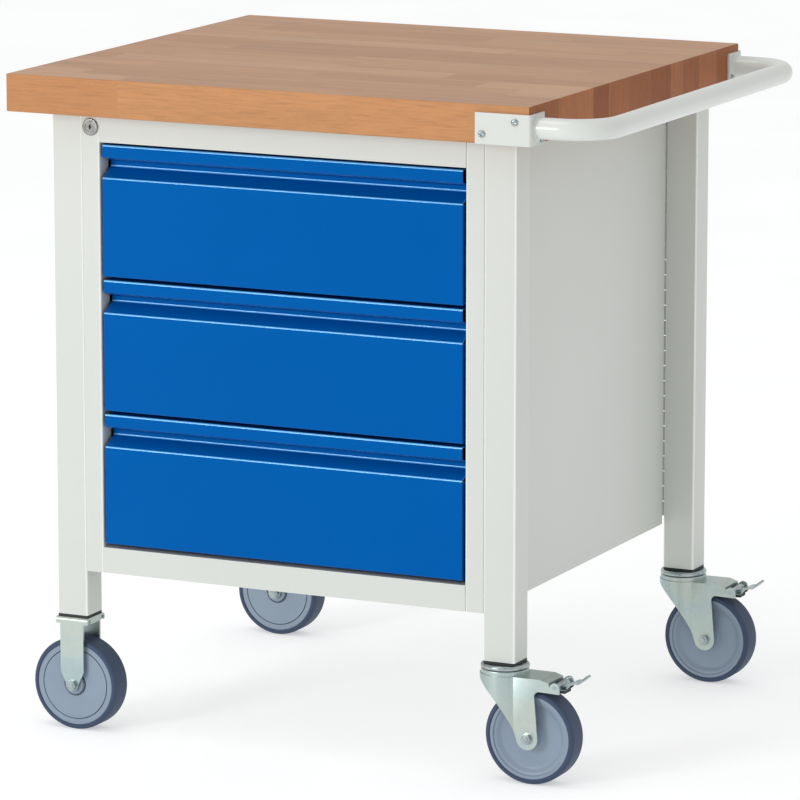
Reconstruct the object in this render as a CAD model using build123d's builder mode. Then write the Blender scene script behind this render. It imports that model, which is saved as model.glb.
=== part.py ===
from build123d import *
from math import cos, radians, sin
import os

# Workbench on castors with three drawers. Millimetres, +Z up, +X to the right of a person who
# stands at the drawers, -Y towards that person. The origin lies on the floor, under the middle
# of the whole bench, push handle included.

# ---- Driving dimensions ----
board_x, board_y, board_t = 750.0, 700.0, 50.0     # beech worktop
bench_h = 890.0                                    # floor to the top of the worktop
board_round = 1.2                                  # broken edges of the worktop
leg_x, leg_y, leg_wall, leg_round = 45.0, 42.0, 2.0, 2.5
leg_gap_x = 580.0                                  # clear width between left and right legs
front_y = -300.0                                   # plane of the legs' and drawers' fronts
rear_leg_y = 303.0                                 # front face of the rear legs
leg_z = 159.0                                      # lower end of the legs
cabinet_z = 221.0                                  # underside of the cabinet
sheet = 1.5                                        # cabinet sheet steel
bay_x, bay_z0, bay_z1 = 529.0, 255.5, 799.5        # drawer opening
return_y = 25.0                                    # depth of the folded edges round the bay
drawer_count = 3
drawer_pitch = 180.0
drawer_z0 = 261.0                                  # lower edge of the lowest drawer front
front_x, front_h, front_sheet = 520.4, 175.4, 1.2  # drawer front
tray_x, tray_y, tray_h, tray_sheet = 500.0, 500.0, 120.0, 1.2
tray_rise = 10.0                                   # tray floor above the front's lower edge
runner_len, runner_sheet, runner_rise = 500.0, 1.2, 62.0
wheel_r, tyre_w = 62.5, 36.0
rim_r, core_w, hub_r, hub_w = 56.0, 33.0, 13.5, 40.0
bore_r, axle_r, bolt_r = 6.05, 6.0, 4.0
fork_sheet = 3.0
fork_in_y = 43.0                                   # clear width inside a castor fork
trail = 41.5                                       # wheel axle behind the swivel axis
castor_top = 155.5                                 # where a castor meets its leg plug
handle_r, handle_wall, handle_bend = 14.0, 2.0, 55.0
handle_out, handle_y, handle_z = 89.0, 331.0, 861.5
bracket_t, bracket_h, bracket_front, bracket_side = 3.0, 40.0, 77.0, 40.0
bracket_drop = 10.0                                # bracket's top edge below the worktop's top
lock_x, lock_z = 277.25, 819.0                     # lock in the left stile
lock_body_r, lock_ring_r, lock_plug_r = 9.0, 11.5, 7.0
lock_ring_t, lock_body_y, lock_sunk = 2.5, 20.0, 0.6
key_w, key_h, key_in = 1.6, 7.0, 9.0               # keyhole and its depth
stem_r, stem_len = 5.0, 27.0                       # threaded stems of the castors
swivel_r = 33.0                                    # outside of a swivel fork's round nose
deck_z = 142.5                                     # top of a swivel fork's deck
ring_r, ring_gap = 32.0, 0.6                       # bearing rings and the slit between them
lower_ring_top = 148.9
kingpin_r, kingpin_head_r, kingpin_head_t = 6.0, 9.0, 2.0
pivot_dx, pivot_z, pivot_r, ear_r = 80.0, 133.5, 2.5, 6.5    # brake pedal's pin and its ears
arm_x = 86.5                                       # end of a swivel fork's arms
swivel_dish = (51.5, 7.0, 5.0)                     # dish in a wheel's side: radius, depth, slope
cover_seat = (48.4, 4.0, 1.0)                      # the same for a wheel with thread guards

# ---- Sizes that follow ----
handle_reach = handle_out + handle_r               # worktop edge to the outside of the handle
mid_x = -handle_reach / 2                          # middle of the worktop and the cabinet
board_z = bench_h - board_t
leg_out_x = leg_gap_x / 2 + leg_x / 2              # leg centre from the middle
front_leg_y = front_y + leg_y / 2
back_leg_y = rear_leg_y + leg_y / 2
panel_x = leg_gap_x / 2                            # outer face of a cabinet side
inside_x = panel_x - sheet
back_y = rear_leg_y - 4.0                          # inner face of the cabinet's rear folds
tray_front_y = front_y + return_y
cheek_y = fork_in_y / 2 + fork_sheet               # outer face of a fork cheek
axle_z = wheel_r
upper_ring_low = lower_ring_top + ring_gap
left_x, right_x = mid_x - leg_out_x, mid_x + leg_out_x
bend_r = 1.0                                       # inside of the cabinet's folds
fit_gap = 0.05                                     # play round a turned pin

runner_gap = 0.6
outer_h = 45.0                                     # heights of the nested runner members
middle_h = outer_h - 2 * runner_sheet - 2 * runner_gap
inner_h = middle_h - 2 * runner_sheet - 2 * runner_gap
outer_lip, middle_lip, inner_lip = 10.0, 8.8, 9.0  # reach of their lips
outer_web = bay_x / 2 - 0.5
middle_web = outer_web - runner_sheet - 1.0
middle_len, inner_len = runner_len - 20.0, runner_len - 8.0

screw_r, screw_head_r, screw_head_t, screw_len = 2.5, 4.6, 2.8, 22.0
screw_play, screw_edge = 0.1, 1.2
cross_l, cross_w, cross_in = 4.4, 0.9, 1.4         # cross recess of the screws
face_screws = ((310.8, 852.9), (355.9, 869.9))     # across the worktop from its middle, height
side_screw_y, side_screw_z = 319.0, 846.0


def save(builder, name):
    """Label one finished piece and write it to its own file."""
    builder.part.label = name
    export_step(builder.part, f"parts/{name}.step")


def across(x, z, y, side):
    """Plane at a point that looks along -Y (side -1) or +Y (side 1)."""
    return Plane(origin=(x, y, z), x_dir=(1, 0, 0), z_dir=(0, side, 0))


def along_x(x, y, z, side=1):
    """Plane at a point that looks along +X (side 1) or -X."""
    return Plane(origin=(x, y, z), x_dir=(0, 1, 0), z_dir=(side, 0, 0))


def section(y):
    """Upright plane across the bench, drawn as x and z, that looks towards the front."""
    return Plane(origin=(0, y, 0), x_dir=(1, 0, 0), z_dir=(0, -1, 0))


# ---- Worktop ----
def make_worktop():
    """Solid beech board with pilot holes for the handle screws."""
    with BuildPart() as worktop:
        with BuildSketch(Plane.XY.offset(board_z)):
            with Locations((mid_x, 0)):
                Rectangle(board_x, board_y)
        extrude(amount=board_t)
        fillet(worktop.edges(), board_round)
        for side in (-1, 1):
            for dx, z in face_screws:
                with BuildSketch(across(mid_x + dx, z, side * board_y / 2, -side)):
                    Circle(screw_r)
                extrude(amount=screw_len, mode=Mode.SUBTRACT)
            with BuildSketch(along_x(mid_x + board_x / 2, side * side_screw_y, side_screw_z, -1)):
                Circle(screw_r)
            extrude(amount=screw_len, mode=Mode.SUBTRACT)
    save(worktop, "worktop")


# ---- Frame: legs, plugs, rear rail ----
def make_leg(name, x, y):
    """Square steel tube from the worktop down to its plug."""
    with BuildPart() as leg:
        with BuildSketch(Plane.XY.offset(leg_z)):
            with Locations((x, y)):
                RectangleRounded(leg_x, leg_y, leg_round)
                RectangleRounded(leg_x - 2 * leg_wall, leg_y - 2 * leg_wall, leg_round / 2,
                                 mode=Mode.SUBTRACT)
        extrude(amount=board_z - leg_z)
    save(leg, name)


def make_leg_plugs(places):
    """Black plastic plugs: a flange under each leg and a body inside it, bored for the stem."""
    plug_in, plug_gap, stem_gap = 28.0, 0.2, 0.1
    with BuildPart() as plugs:
        with BuildSketch(Plane.XY.offset(castor_top)):
            with Locations(*places):
                RectangleRounded(leg_x, leg_y, leg_round)
        extrude(amount=leg_z - castor_top)
        with BuildSketch(Plane.XY.offset(leg_z)):
            with Locations(*places):
                RectangleRounded(leg_x - 2 * leg_wall - 2 * plug_gap,
                                 leg_y - 2 * leg_wall - 2 * plug_gap, leg_round)
        extrude(amount=plug_in)
        with BuildSketch(Plane.XY.offset(castor_top)):
            with Locations(*places):
                Circle(stem_r + stem_gap)
        extrude(amount=plug_in + leg_z - castor_top, mode=Mode.SUBTRACT)
    save(plugs, "leg_plugs")


def make_rear_rail():
    """Rectangular tube between the rear legs, under the worktop."""
    rail_h, rail_y = 40.0, 25.0
    with BuildPart() as rail:
        with BuildSketch(along_x(mid_x - panel_x, back_leg_y, board_z - rail_h / 2)):
            RectangleRounded(rail_y, rail_h, leg_round)
            RectangleRounded(rail_y - 2 * leg_wall, rail_h - 2 * leg_wall, leg_round / 2,
                             mode=Mode.SUBTRACT)
        extrude(amount=leg_gap_x)
    save(rail, "rear_rail")


# ---- Cabinet: folded sheet steel ----
def make_side_panel(name, side):
    """Side sheet with a narrow fold along its rear edge, a slit short of the rear leg."""
    fold = 18.0
    with BuildPart() as panel:
        with BuildSketch(Plane.XY.offset(cabinet_z)):
            with BuildLine():
                FilletPolyline(
                    (mid_x + side * panel_x, front_y + sheet),
                    (mid_x + side * panel_x, back_y + sheet),
                    (mid_x + side * (panel_x - fold), back_y + sheet),
                    radius=bend_r + sheet,
                )
                offset(amount=sheet, side=Side.LEFT if side > 0 else Side.RIGHT)
            make_face()
        extrude(amount=board_z - cabinet_z)
    save(panel, name)


def make_back_panel():
    """Flat rear sheet that lies against the folds of the side panels."""
    bend_gap = 1.2
    with BuildPart() as panel:
        with BuildSketch(Plane.XY.offset(cabinet_z)):
            with Locations((mid_x, back_y - sheet / 2)):
                Rectangle(2 * (inside_x - bend_gap), sheet)
        extrude(amount=board_z - cabinet_z)
    save(panel, "back_panel")


def make_floor_panel():
    """Flat sheet that closes the cabinet below."""
    depth = back_y - sheet - tray_front_y
    with BuildPart() as panel:
        with BuildSketch(Plane.XY.offset(cabinet_z)):
            with Locations((mid_x, tray_front_y + depth / 2)):
                Rectangle(2 * inside_x, depth)
        extrude(amount=sheet)
    save(panel, "floor_panel")


def make_stile(name, side, with_lock):
    """Upright beside the bay: a front face with a fold back into the cabinet."""
    with BuildPart() as stile:
        with BuildSketch(Plane.XY.offset(cabinet_z)):
            with BuildLine():
                FilletPolyline(
                    (mid_x + side * panel_x, front_y),
                    (mid_x + side * bay_x / 2, front_y),
                    (mid_x + side * bay_x / 2, front_y + return_y),
                    radius=bend_r + sheet,
                )
                offset(amount=sheet, side=Side.RIGHT if side > 0 else Side.LEFT)
            make_face()
        extrude(amount=board_z - cabinet_z)
        if with_lock:
            with BuildSketch(across(mid_x - lock_x, lock_z, front_y, 1)):
                Circle(lock_body_r + 2 * fit_gap)
            extrude(amount=sheet, mode=Mode.SUBTRACT)
    save(stile, name)


def make_rail(name, low, high, folds):
    """Cross rail between the stiles, with folds back along the edges listed."""
    with BuildPart() as rail:
        with BuildSketch(Plane.YZ.offset(mid_x - bay_x / 2)):
            with Locations((front_y + sheet / 2, (low + high) / 2)):
                Rectangle(sheet, high - low)
            for z in folds:
                with Locations((front_y + return_y / 2, z)):
                    Rectangle(return_y, sheet)
        extrude(amount=bay_x)
    save(rail, name)


# ---- Push handle ----
def make_handle_tube():
    """Bent steel tube that stands out from the right end of the worktop."""
    start_x = mid_x + board_x / 2 + bracket_t
    run_x = mid_x + board_x / 2 + handle_out
    with BuildPart() as tube:
        with BuildLine(Plane.XY.offset(handle_z)):
            FilletPolyline(
                (start_x, -handle_y),
                (run_x, -handle_y),
                (run_x, handle_y),
                (start_x, handle_y),
                radius=handle_bend,
            )
        with BuildSketch(along_x(start_x, -handle_y, handle_z)):
            Circle(handle_r)
            Circle(handle_r - handle_wall, mode=Mode.SUBTRACT)
        sweep()
    save(tube, "handle_tube")


def make_bracket(name, side):
    """Angle plate round one corner of the worktop, screwed to both of its faces."""
    corner_x = mid_x + board_x / 2 + bracket_t
    corner_y = side * (board_y / 2 + bracket_t)
    low = bench_h - bracket_drop - bracket_h
    with BuildPart() as bracket:
        with BuildSketch(Plane.XY.offset(low)):
            with BuildLine():
                FilletPolyline(
                    (corner_x - bracket_front, corner_y),
                    (corner_x, corner_y),
                    (corner_x, side * (board_y / 2 - bracket_side)),
                    radius=bracket_t,
                )
                offset(amount=bracket_t, side=Side.LEFT if side < 0 else Side.RIGHT)
            make_face()
        extrude(amount=bracket_h)
        for dx, z in face_screws:
            with BuildSketch(across(mid_x + dx, z, corner_y, -side)):
                Circle(screw_r + screw_play)
            extrude(amount=bracket_t, mode=Mode.SUBTRACT)
        with BuildSketch(along_x(corner_x, side * side_screw_y, side_screw_z, -1)):
            Circle(screw_r + screw_play)
        extrude(amount=bracket_t, mode=Mode.SUBTRACT)
    save(bracket, name)


def make_handle_screws():
    """Pan-head screws that hold both brackets to the worktop."""
    planes = []
    for side in (-1, 1):
        face_y = side * (board_y / 2 + bracket_t)
        planes += [across(mid_x + dx, z, face_y, side) for dx, z in face_screws]
        planes.append(along_x(mid_x + board_x / 2 + bracket_t, side * side_screw_y, side_screw_z))
    with BuildPart() as screws:
        for plane in planes:
            with BuildSketch(plane):
                Circle(screw_head_r)
            extrude(amount=screw_head_t)
        fillet(screws.edges().filter_by(GeomType.CIRCLE), screw_edge)
        for plane in planes:
            with BuildSketch(plane):
                Circle(screw_r - screw_play)
            extrude(amount=-(screw_len - 1.0))
            with BuildSketch(plane.offset(screw_head_t - cross_in)):
                Rectangle(cross_l, cross_w)
                Rectangle(cross_w, cross_l)
            extrude(amount=cross_in, mode=Mode.SUBTRACT)
    save(screws, "handle_screws")


# ---- Lock ----
def make_lock_housing():
    """Round lock case through the left stile, with a collar on its front."""
    plane = across(mid_x - lock_x, lock_z, front_y, 1)
    with BuildPart() as housing:
        with BuildSketch(plane):
            Circle(lock_ring_r)
        extrude(amount=-lock_ring_t)
        fillet(housing.edges().sort_by(Axis.Y)[0], 1.4)
        with BuildSketch(plane):
            Circle(lock_body_r)
        extrude(amount=lock_body_y)
        with BuildSketch(plane.offset(-lock_ring_t)):
            Circle(lock_plug_r + fit_gap)
        extrude(amount=lock_ring_t + lock_body_y, mode=Mode.SUBTRACT)
    save(housing, "lock_housing")


def make_lock_cylinder():
    """Plug that turns in the lock case, with a keyhole in its face."""
    plane = across(mid_x - lock_x, lock_z, front_y - lock_ring_t + lock_sunk, 1)
    with BuildPart() as plug:
        with BuildSketch(plane):
            Circle(lock_plug_r)
        extrude(amount=lock_ring_t - lock_sunk + lock_body_y + 1.0)
        with BuildSketch(plane):
            Rectangle(key_w, key_h)
            Circle(key_w)
        extrude(amount=key_in, mode=Mode.SUBTRACT)
    save(plug, "lock_cylinder")


def make_lock_cam():
    """Short arm on the inner end of the plug."""
    arm, arm_w, cam_r, cam_t = 10.4, 7.0, 5.5, 2.0
    plane = across(mid_x - lock_x, lock_z, front_y + lock_body_y + 1.0, 1)
    with BuildPart() as cam:
        with BuildSketch(plane):
            Circle(cam_r)
            with Locations((0, -arm / 2)):
                Rectangle(arm_w, arm)
            Circle(arm, mode=Mode.INTERSECT)
        extrude(amount=cam_t)
    save(cam, "lock_cam")


def make_lock_bar():
    """Upright bar behind the left stile that the lock lifts."""
    bar_x, bar_t, bar_gap, foot, head = 16.0, 2.0, 0.4, 19.0, 34.0
    y = front_y + return_y + bar_gap
    with BuildPart() as bar:
        with BuildSketch(Plane.XY.offset(cabinet_z + foot)):
            with Locations((mid_x - lock_x, y + bar_t / 2)):
                Rectangle(bar_x, bar_t)
        extrude(amount=board_z - head - cabinet_z - foot)
    save(bar, "lock_bar")


# ---- Drawers ----
def make_drawer_front(name, z):
    """Sheet front folded into a lip, a finger channel below it and a flat face."""
    top = z + front_h
    back = tray_front_y
    lip, channel_top, channel_low, face_top = 16.7, 24.0, 30.8, 44.1
    fold_r, fold_gap = 2.2, 2.0
    with BuildPart() as front:
        with BuildSketch(Plane.YZ.offset(mid_x - front_x / 2)):
            with BuildLine():
                FilletPolyline(
                    (back, top),
                    (front_y, top),
                    (front_y, top - lip),
                    (back - front_sheet, top - channel_top),
                    (back - front_sheet, top - channel_low),
                    (front_y, top - face_top),
                    (front_y, z),
                    (back, z),
                    radius=fold_r,
                )
                offset(amount=front_sheet, side=Side.LEFT)
            make_face()
        extrude(amount=front_x)
        for side in (-1, 1):
            edge = mid_x + side * (front_x / 2 - front_sheet / 2)
            low, high = z + front_sheet, top - face_top - fold_gap
            with BuildSketch(Plane.XY.offset(low)):
                with Locations((edge, front_y + front_sheet + (return_y - front_sheet) / 2)):
                    Rectangle(front_sheet, return_y - front_sheet)
            extrude(amount=high - low)
    save(front, name)


def make_drawer_tray(name, z):
    """Open sheet tray behind a drawer front."""
    floor, corner_r = z + tray_rise, 3.0
    with BuildPart() as tray:
        with BuildSketch(Plane.XY.offset(floor)):
            with Locations((mid_x, tray_front_y + tray_y / 2)):
                Rectangle(tray_x, tray_y)
        extrude(amount=tray_h)
        fillet(tray.edges().filter_by(Axis.Z), corner_r)
        with BuildSketch(Plane.XY.offset(floor + tray_sheet)):
            with Locations((mid_x, tray_front_y + tray_y / 2)):
                RectangleRounded(tray_x - 2 * tray_sheet, tray_y - 2 * tray_sheet,
                                 corner_r - tray_sheet)
        extrude(amount=tray_h, mode=Mode.SUBTRACT)
    save(tray, name)


def channel(side, web, lips, height, z):
    """Draw one runner section: a web at one distance from the middle and lips towards another."""
    toward = 1 if lips > web else -1
    with Locations((mid_x + side * (web + toward * runner_sheet / 2), z)):
        Rectangle(runner_sheet, height)
    for up in (-1, 1):
        with Locations((mid_x + side * (web + lips) / 2, z + up * (height - runner_sheet) / 2)):
            Rectangle(abs(lips - web), runner_sheet)


def make_outer_runners(name, z):
    """Fixed runner members, each carried by two folded brackets on the cabinet side."""
    foot, bracket_ys, front = 30.0, (-225.0, 165.0), tray_front_y + 1.0
    with BuildPart() as runners:
        with BuildSketch(section(front + runner_len)):
            for side in (-1, 1):
                channel(side, outer_web, outer_web - outer_lip, outer_h, z)
        extrude(amount=runner_len)
        with BuildSketch(Plane.XY.offset(z - inner_h / 2)):
            for side in (-1, 1):
                for y in bracket_ys:
                    with Locations((mid_x + side * (outer_web + sheet / 2), y + foot / 2)):
                        Rectangle(sheet, foot)
                    with Locations((mid_x + side * (outer_web + inside_x) / 2, y)):
                        Rectangle(inside_x - outer_web, sheet)
                    with Locations((mid_x + side * (inside_x - sheet / 2), y - foot / 2)):
                        Rectangle(sheet, foot)
        extrude(amount=inner_h)
    save(runners, name)


def make_middle_runners(name, z):
    """Middle members that ride half as far as the drawer."""
    front = tray_front_y + 3.0
    with BuildPart() as runners:
        with BuildSketch(section(front + middle_len)):
            for side in (-1, 1):
                channel(side, middle_web, middle_web - middle_lip, middle_h, z)
        extrude(amount=middle_len)
    save(runners, name)


def make_inner_runners(name, z):
    """Inner members fixed to the sides of the tray."""
    front = tray_front_y + 4.0
    with BuildPart() as runners:
        with BuildSketch(section(front + inner_len)):
            for side in (-1, 1):
                channel(side, tray_x / 2, tray_x / 2 + inner_lip, inner_h, z)
        extrude(amount=inner_len)
    save(runners, name)


# ---- Castors ----
def wheel_axis(x, y):
    """Axis of a wheel whose middle stands at x, y."""
    return Axis((x, y, axle_z), (0, 1, 0))


def wheel_plane(x, y):
    """Plane through a wheel's axis, drawn as distance along the axle and radius."""
    return Plane(origin=(x, y, axle_z), x_dir=(0, 1, 0), z_dir=(1, 0, 0))


def make_wheel_core(name, x, y, dish_r, dish_depth, slope):
    """Plastic wheel body: hub, web and rim, hollowed on both sides inside the rim."""
    web_y, hub_foot = core_w / 2 - dish_depth, 2.0
    half = (
        (hub_w / 2, bore_r),
        (hub_w / 2, hub_r),
        (web_y, hub_r + hub_foot),
        (web_y, dish_r - slope),
        (core_w / 2, dish_r),
        (core_w / 2, rim_r),
    )
    with BuildPart() as core:
        with BuildSketch(wheel_plane(x, y)):
            with BuildLine():
                Polyline(*half, *[(-a, r) for a, r in reversed(half)], close=True)
            make_face()
        revolve(axis=wheel_axis(x, y))
    save(core, name)


def make_tyre(name, x, y):
    """Rubber tyre with rounded shoulders, moulded on to the rim."""
    shoulder_r, foot_r = 5.0, 1.0
    with BuildPart() as tyre:
        with BuildSketch(wheel_plane(x, y)) as profile:
            with Locations((0, (wheel_r + rim_r) / 2)):
                Rectangle(tyre_w, wheel_r - rim_r)
            fillet(profile.vertices().group_by(Axis.Y)[-1], shoulder_r)
            fillet(profile.vertices().group_by(Axis.Y)[0], foot_r)
        revolve(axis=wheel_axis(x, y))
    save(tyre, name)


def make_wheel_covers(name, x, y):
    """Flat thread guards on both sides of a fixed castor's wheel."""
    cover_r, cover_t, cover_hole = 47.4, 1.6, hub_r + 2.4
    with BuildPart() as covers:
        for side in (-1, 1):
            plane = across(x, axle_z, y + side * (core_w / 2 - cover_t), side)
            with BuildSketch(plane):
                Circle(cover_r)
                Circle(cover_hole, mode=Mode.SUBTRACT)
            extrude(amount=cover_t)
    save(covers, name)


def make_axle(name, x, y):
    """Axle sleeve and its through bolt, with a hexagon head outside each cheek."""
    head_r, head_t, bolt_end = 7.4, 5.0, 1.0
    with BuildPart() as axle:
        with BuildSketch(across(x, axle_z, y - fork_in_y / 2, 1)):
            Circle(axle_r)
        extrude(amount=fork_in_y)
        with BuildSketch(across(x, axle_z, y - cheek_y, 1)):
            Circle(bolt_r)
        extrude(amount=2 * cheek_y)
        for side in (-1, 1):
            with BuildSketch(across(x, axle_z, y + side * cheek_y, side)):
                RegularPolygon(head_r, 6)
            extrude(amount=head_t)
            with BuildSketch(across(x, axle_z, y + side * (cheek_y + head_t), side)):
                Circle(bolt_r)
            extrude(amount=bolt_end)
    save(axle, name)


def make_fixed_fork(name, x, y):
    """Fixed castor: a folded plate under the plug, two tapering cheeks and a threaded stem."""
    plate_x, lip_z, cheek_x, taper_z, tip_r = 24.0, 9.0, 17.5, 81.0, 8.5
    fold_r, end_lip, end_lip_y = 4.5, 2.0, 30.0
    with BuildPart() as fork:
        with BuildSketch(Plane.YZ.offset(x - plate_x)):
            with BuildLine():
                FilletPolyline(
                    (y - cheek_y, axle_z - 2 * tip_r),
                    (y - cheek_y, castor_top),
                    (y + cheek_y, castor_top),
                    (y + cheek_y, axle_z - 2 * tip_r),
                    radius=fold_r,
                )
                offset(amount=fork_sheet, side=Side.RIGHT)
            make_face()
        extrude(amount=2 * plate_x)
        with BuildSketch(section(y + cheek_y)):
            with BuildLine():
                Polyline(
                    (x - plate_x, castor_top),
                    (x - plate_x, castor_top - lip_z),
                    (x - cheek_x, castor_top - lip_z),
                    (x - cheek_x, taper_z),
                    (x - tip_r, axle_z),
                    (x + tip_r, axle_z),
                    (x + cheek_x, taper_z),
                    (x + cheek_x, castor_top - lip_z),
                    (x + plate_x, castor_top - lip_z),
                    (x + plate_x, castor_top),
                    close=True,
                )
            make_face()
            with Locations((x, axle_z)):
                Circle(tip_r)
        extrude(amount=2 * cheek_y, mode=Mode.INTERSECT)
        for side in (-1, 1):
            with BuildSketch(Plane.XY.offset(castor_top - lip_z)):
                with Locations((x + side * (plate_x - end_lip / 2), y)):
                    Rectangle(end_lip, end_lip_y)
            extrude(amount=lip_z - fork_sheet)
        with BuildSketch(Plane.XY.offset(castor_top)):
            with Locations((x, y)):
                Circle(stem_r)
        extrude(amount=stem_len)
        with BuildSketch(across(x, axle_z, y - cheek_y, 1)):
            Circle(bolt_r + fit_gap)
        extrude(amount=2 * cheek_y, mode=Mode.SUBTRACT)
    save(fork, name)


def make_swivel_head(name, x, y):
    """Upper bearing ring under the plug, with the threaded stem and the kingpin."""
    crown_r, foot_r = 3.4, 1.4
    pin_low = deck_z - fork_sheet - 1.0
    with BuildPart() as head:
        with BuildSketch(Plane.XY.offset(upper_ring_low)):
            with Locations((x, y)):
                Circle(ring_r)
        extrude(amount=castor_top - upper_ring_low)
        fillet(head.edges().group_by(Axis.Z)[-1], crown_r)
        fillet(head.edges().group_by(Axis.Z)[0], foot_r)
        with BuildSketch(Plane.XY.offset(castor_top)):
            with Locations((x, y)):
                Circle(stem_r)
        extrude(amount=stem_len)
        with BuildSketch(Plane.XY.offset(upper_ring_low)):
            with Locations((x, y)):
                Circle(kingpin_r)
        extrude(amount=pin_low - upper_ring_low)
        with BuildSketch(Plane.XY.offset(pin_low)):
            with Locations((x, y)):
                Circle(kingpin_head_r)
        extrude(amount=-kingpin_head_t)
    save(head, name)


def make_swivel_fork(name, x, y):
    """Swivel castor fork: round nose, two cheeks with eared arms, a deck and the lower ring."""
    tip_r, ring_edge, arch_r, over = 15.0, 2.0, 7.0, 10.0
    low_z = axle_z - tip_r - 5.0
    ax = x + trail
    pivot = (x + pivot_dx, pivot_z)
    nose = (x - swivel_r - 1.0, deck_z - 2.5)
    waist = (x + 3.0, 106.5)
    tip_turn = radians(20.0)
    touch = (ax - tip_r * cos(tip_turn), axle_z - tip_r * sin(tip_turn))
    deck_bend = (x + 60.0, deck_z)
    deck_end = (x + 71.0, deck_z - 3.5)
    arch = (x + 51.0, 126.5)
    with BuildPart() as hollow:
        with BuildSketch(Plane.XY.offset(low_z)):
            with Locations((x, y)):
                Circle(swivel_r - fork_sheet)
            with Locations((x + (arm_x + over) / 2, y)):
                Rectangle(arm_x + over, fork_in_y)
        extrude(amount=deck_z - low_z)
        with BuildSketch(section(y + swivel_r)):
            with BuildLine():
                Polyline(
                    (x - swivel_r, low_z),
                    (x - swivel_r, deck_z - fork_sheet),
                    (deck_bend[0], deck_z - fork_sheet),
                    (deck_end[0], deck_end[1] - fork_sheet),
                    (deck_end[0], deck_z),
                    (x + arm_x + over, deck_z),
                    (x + arm_x + over, low_z),
                    close=True,
                )
            make_face()
        extrude(amount=2 * swivel_r, mode=Mode.INTERSECT)
    with BuildPart() as fork:
        with BuildSketch(Plane.XY.offset(low_z)):
            with Locations((x, y)):
                Circle(swivel_r)
            with Locations((x + arm_x / 2, y)):
                Rectangle(arm_x, 2 * cheek_y)
        extrude(amount=deck_z - low_z)
        with BuildSketch(section(y + swivel_r)) as side_view:
            with BuildLine():
                Polyline(
                    nose,
                    (nose[0], deck_z),
                    deck_bend,
                    deck_end,
                    (pivot[0] - ear_r, pivot_z),
                    (x + arm_x, pivot_z),
                    (x + arm_x, arch[1] - 1.0),
                    arch,
                    (ax + tip_r, axle_z),
                    (ax, axle_z),
                    touch,
                )
                ThreePointArc(touch, waist, nose)
            make_face()
            with Locations(pivot):
                Circle(ear_r)
            with Locations((ax, axle_z)):
                Circle(tip_r)
            corner = side_view.vertices().sort_by_distance((*arch, 0))[0]
            fillet(corner, arch_r)
        extrude(amount=2 * swivel_r, mode=Mode.INTERSECT)
        add(hollow.part, mode=Mode.SUBTRACT)
        with BuildSketch(Plane.XY.offset(deck_z)):
            with Locations((x, y)):
                Circle(ring_r - 0.5)
        extrude(amount=lower_ring_top - deck_z)
        fillet(fork.edges().group_by(Axis.Z)[-1], ring_edge)
        with BuildSketch(Plane.XY.offset(deck_z - fork_sheet)):
            with Locations((x, y)):
                Circle(kingpin_r + fit_gap)
        extrude(amount=lower_ring_top - deck_z + fork_sheet, mode=Mode.SUBTRACT)
        with BuildSketch(across(ax, axle_z, y - cheek_y, 1)):
            Circle(bolt_r + fit_gap)
        extrude(amount=2 * cheek_y, mode=Mode.SUBTRACT)
        with BuildSketch(across(*pivot, y - cheek_y, 1)):
            Circle(pivot_r + fit_gap)
        extrude(amount=2 * cheek_y, mode=Mode.SUBTRACT)
    save(fork, name)


def make_brake_pedal(name, x, y):
    """Foot pedal: a cross barrel on two stub pins, a flanged tongue and a rubber shoe below."""
    px = x + pivot_dx
    plate_t, plate_w, barrel_r, toe_r = 2.8, 22.0, 4.0, 8.0
    flange_t, flange_low = 2.0, 5.5
    shoe_x, shoe_w, shoe_t, shoe_r, shoe_root = 10.0, 20.0, 4.0, 1.2, 2.0
    tongue = (
        (px - 1.0, pivot_z + 1.6),
        (px + 7.0, pivot_z + 1.6),
        (px + 20.0, pivot_z + 6.5),
        (px + 27.0, pivot_z + 7.0),
        (px + 37.0, pivot_z + 16.0),
    )
    with BuildPart() as pedal:
        with BuildSketch(section(y + plate_w / 2)):
            with BuildLine():
                FilletPolyline(*tongue, radius=3.0)
                offset(amount=plate_t, side=Side.RIGHT)
            make_face()
        extrude(amount=plate_w)
        fillet(pedal.faces().sort_by(Axis.X)[-1].edges().sort_by(SortBy.LENGTH)[:2], toe_r)
        for flange_y in (y + plate_w / 2, y - plate_w / 2 + flange_t):
            with BuildSketch(section(flange_y)):
                with BuildLine():
                    Polyline(
                        tongue[0],
                        tongue[1],
                        tongue[2],
                        (px + 10.0, pivot_z - flange_low),
                        (px - 1.0, pivot_z - flange_low),
                        close=True,
                    )
                make_face()
            extrude(amount=flange_t)
        with BuildSketch(across(px, pivot_z, y - fork_in_y / 2 + 0.4, 1)):
            Circle(barrel_r)
        extrude(amount=fork_in_y - 0.8)
        with BuildSketch(across(px, pivot_z, y - cheek_y, 1)):
            Circle(pivot_r)
        extrude(amount=2 * cheek_y)
        with BuildSketch(Plane.XY.offset(pivot_z - flange_low - shoe_t)):
            with Locations((px + shoe_x / 2 - 1.0, y)):
                RectangleRounded(shoe_x, shoe_w, shoe_r)
        extrude(amount=shoe_t + shoe_root)
    save(pedal, name)


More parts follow.
